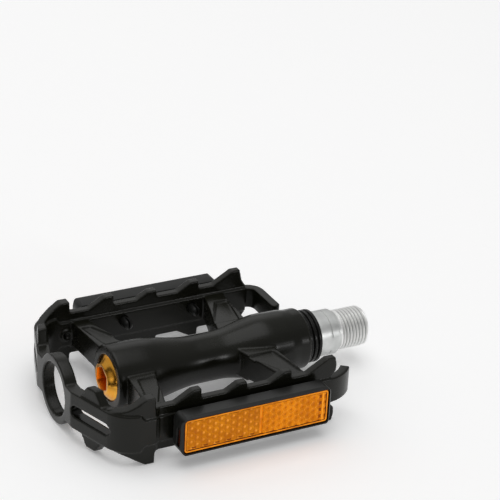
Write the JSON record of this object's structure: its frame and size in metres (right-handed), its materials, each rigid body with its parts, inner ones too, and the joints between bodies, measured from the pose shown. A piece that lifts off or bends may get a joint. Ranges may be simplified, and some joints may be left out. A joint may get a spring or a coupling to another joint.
{
  "type": "platform pedal",
  "caption": "Bicycle platform pedal: one-piece toothed cage and barrel on a threaded axle, with two clip-on amber reflectors and a gold dust cap.",
  "frame": {"origin": "on the axle's axis, at the shoulder that seats against the crank, where the crank thread begins", "axes": "+X along the axle towards the crank, -Y towards the front reflector, +Z out of the upper face"},
  "size_m": [0.1174, 0.09, 0.0242],
  "materials": {
    "black_alloy": "satin black paint on die-cast alloy",
    "satin_steel": "satin, turned",
    "bearing_steel": "ground",
    "ball_steel": "polished",
    "gold_alloy": "gold anodised",
    "black_rubber": "smooth",
    "black_plastic": "satin moulded",
    "amber_plastic": "clear amber prism lens"
  },
  "bodies": {
    "platform": {"cage_frame": "black_alloy", "crank_side_cup": "bearing_steel", "cap_side_cup": "bearing_steel", "dust_cap": "gold_alloy", "seal_ring": "black_rubber", "front_reflector_housing": "black_plastic", "front_reflector_lens": "amber_plastic", "back_reflector_housing": "black_plastic", "back_reflector_lens": "amber_plastic"},
    "axle_set": {"axle": "satin_steel", "adjusting_cone": "bearing_steel", "keyed_washer": "bearing_steel", "lock_nut": "bearing_steel"},
    "crank_side_ball_set": {"crank_side_balls": "ball_steel", "crank_side_retainer": "bearing_steel"},
    "cap_side_ball_set": {"cap_side_balls": "ball_steel", "cap_side_retainer": "bearing_steel"}
  },
  "joints": [
    {"name": "axle_spin", "type": "hinge", "parent": "platform", "child": "axle_set", "pos_m": [0, 0, 0], "axis": [1, 0, 0], "continuous": true},
    {"name": "crank_side_balls_roll", "type": "hinge", "parent": "platform", "child": "crank_side_ball_set", "pos_m": [-0.0185, 0, 0], "axis": [1, 0, 0], "continuous": true},
    {"name": "cap_side_balls_roll", "type": "hinge", "parent": "platform", "child": "cap_side_ball_set", "pos_m": [-0.0685, 0, 0], "axis": [1, 0, 0], "continuous": true}
  ],
  "couplings": [
    {"joint": "crank_side_balls_roll", "follows": "axle_spin", "ratio": 0.416},
    {"joint": "cap_side_balls_roll", "follows": "axle_spin", "ratio": 0.405}
  ]
}
